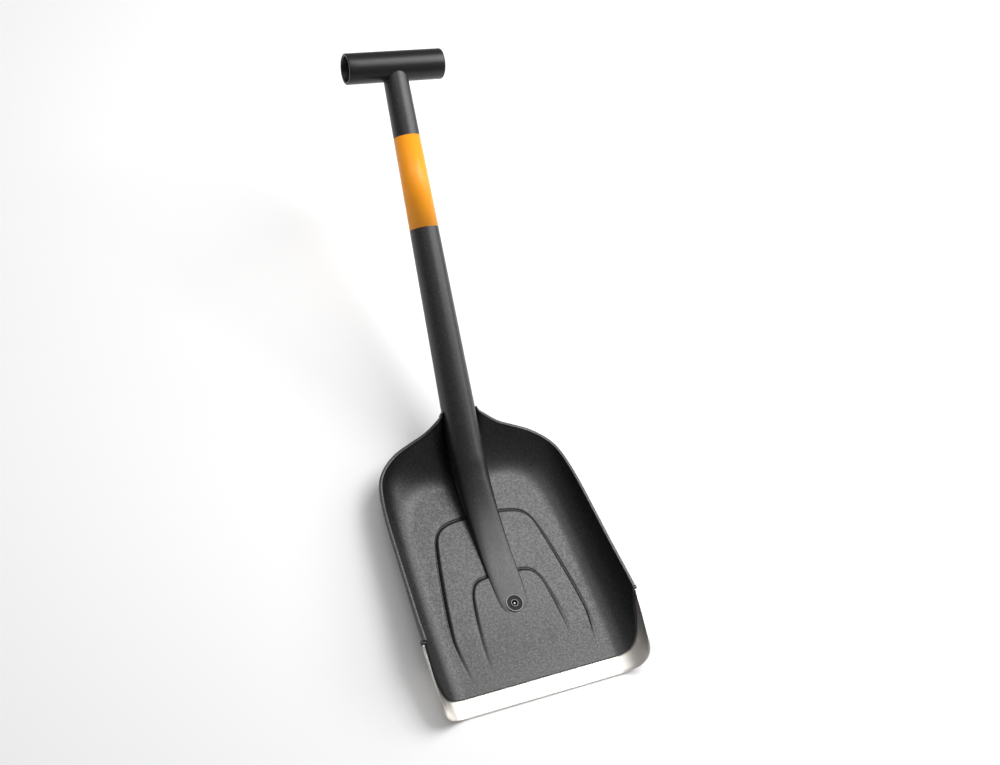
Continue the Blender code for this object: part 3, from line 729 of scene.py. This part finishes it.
def makeWearEdge():
    bm = bmesh.new()
    made = bmesh.ops.create_grid(bm, x_segments=wearEdge["acrossSteps"],
                                 y_segments=wearEdge["deepSteps"], size=1.0)
    for vert in made["verts"]:
        x, z = edgeSection(abs(vert.co.x))
        front, back = alongZ(wearEdge["front"], z), alongZ(wearEdge["back"], z)
        y = front + (max(back, front + wearEdge["leastDepth"]) - front) * ((vert.co.y + 1) / 2)
        vert.co = spot(math.copysign(x, vert.co.x), y, z)
    edge = finishPiece("wearEdgeStrip", bm, edgeMetal, "wear_edge",
                       wearEdge["sharp"])
    skin = edge.modifiers.new("sheet", "SOLIDIFY")
    skin.thickness = wearEdge["thickness"] * mm
    skin.offset = -1
    skin.use_even_offset = True
    softenEdges(edge, wearEdge["bevel"], 2, 50)


makeWearEdge()
print("wear edge made")


rivet = {"y": 95.0, "sides": 72, "stemSides": 48, "sharp": 35,
         # what is cut away for it: seat and hole in the foot, hole and washer pocket in the scoop
         "seat": [(0, 20), (9.25, 20), (9.25, 6.5), (4.9, 6.5), (4.9, 0), (0, 0)],
         "pocket": [(0, 20), (4.9, 20), (4.9, 2.3), (10.2, 2.3), (10.2, -10), (0, -10)],
         # radius and height, from the bore out over the head's two raised rings
         "head": [(3.0, 7.0), (3.0, 7.62), (3.12, 7.78), (3.4, 7.84), (3.68, 7.72), (3.95, 7.42),
                  (4.4, 7.28), (6.9, 7.24), (7.6, 7.34), (8.05, 7.7), (8.3, 7.88), (8.55, 7.92),
                  (8.82, 7.84), (9.0, 7.6), (9.0, 6.8)],
         # then down the body and round the end that is spread under the washer
         "body": [(4.6, 6.8), (4.6, 1.1), (6.2, 1.0), (6.4, 0.8), (6.3, 0.55), (5.4, 0.4),
                  (3.0, 0.4)],
         "stem": [(0, 7.3), (0.62, 7.24), (0.95, 7.0), (1.05, 6.6), (1.05, 3.0), (2.7, 2.4),
                  (2.7, 1.0), (2.3, 0.5), (0, 0.5)]}
rivetPlace = Matrix.Translation(spot(0, rivet["y"], 0))


def makeBladeRivet():
    body = spunShape(rivet["head"] + rivet["body"], rivet["sides"], rivetPlace)
    finishPiece("bladeRivetBody", body, headBlack, "blade_rivet", rivet["sharp"])
    stem = spunShape(rivet["stem"], rivet["stemSides"], rivetPlace)
    finishPiece("bladeRivetStem", stem, stemPaintedShade, "blade_rivet_mandrel",
                rivet["sharp"])


cutAway(shaftTube, rivet["seat"], rivetPlace, shaft["sharp"])
cutAway(scoopShell, rivet["pocket"], rivetPlace, scoop["sharp"])
addCatchTeeth(scoopShell)
makeBladeRivet()
for node, material in (("blade_rivet_washer", washerMetal), ("neck_rivet", washerMetal),
                       ("neck_rivet_mandrel", screwSteel), ("grip_screw", screwSteel)):
    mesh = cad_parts[node].data
    mesh.materials.clear()
    mesh.materials.append(material)
print("rivets made")


studio = {"floor": (0.9, 0.9, 0.9), "floorRough": 0.9, "floorReach": 4.0, "floorGap": 0.0002,
          "world": (1.0, 1.0, 1.0), "worldPower": 0.28,
          # each light's place, the point it faces, its size and its power
          "lights": {"key": ((0.66, 0.22, 1.22), (0, -0.15, 0), (0.9, 0.9), 17),
                     "side": ((1.35, 0.05, 0.75), (0, 0, 0.1), (1.3, 0.5), 8),
                     "top": ((-0.5, 0.7, 1.9), (0, 0, 0), (1.6, 1.6), 12)}}


def makeFloor():
    bm = bmesh.new()
    bmesh.ops.create_grid(bm, x_segments=1, y_segments=1, size=studio["floorReach"])
    mesh = bpy.data.meshes.new("studioFloor")
    bm.to_mesh(mesh)
    bm.free()
    material, _, shader, _ = nodeKit("studio floor")
    shader.inputs["Base Color"].default_value = (*studio["floor"], 1)
    shader.inputs["Roughness"].default_value = studio["floorRough"]
    mesh.materials.append(material)
    floor = bpy.data.objects.new("studioFloor", mesh)
    bpy.context.scene.collection.objects.link(floor)
    floor.location.z = -studio["floorGap"]


def areaLight(name, place, aim, size, power):
    light = bpy.data.lights.new(name, "AREA")
    light.shape = "RECTANGLE"
    light.size, light.size_y = size
    light.energy = power
    lamp = bpy.data.objects.new(name, light)
    bpy.context.scene.collection.objects.link(lamp)
    lamp.location = place
    lamp.rotation_euler = (Vector(aim) - Vector(place)).to_track_quat("-Z", "Y").to_euler()


def makeWorld():
    world = bpy.data.worlds.new("studio")
    world.use_nodes = True
    background = world.node_tree.nodes["Background"]
    background.inputs["Color"].default_value = (*studio["world"], 1)
    background.inputs["Strength"].default_value = studio["worldPower"]
    bpy.context.scene.world = world


makeFloor()
makeWorld()
for lightName, settings in studio["lights"].items():
    areaLight(lightName, *settings)
bpy.context.scene.view_settings.view_transform = "Standard"

view = {"place": (-0.45327, -0.57648, 1.08892), "turn": (33.860, -14.738, -20.647), "lens": 43.91,
        "sensor": 36}


def makeCamera():
    camera = bpy.data.objects.new("camera", bpy.data.cameras.new("camera"))
    bpy.context.scene.collection.objects.link(camera)
    camera.location = view["place"]
    camera.rotation_euler = [math.radians(a) for a in view["turn"]]
    camera.data.lens = view["lens"]
    camera.data.sensor_width = view["sensor"]
    bpy.context.scene.camera = camera


makeCamera()
print("studio made")
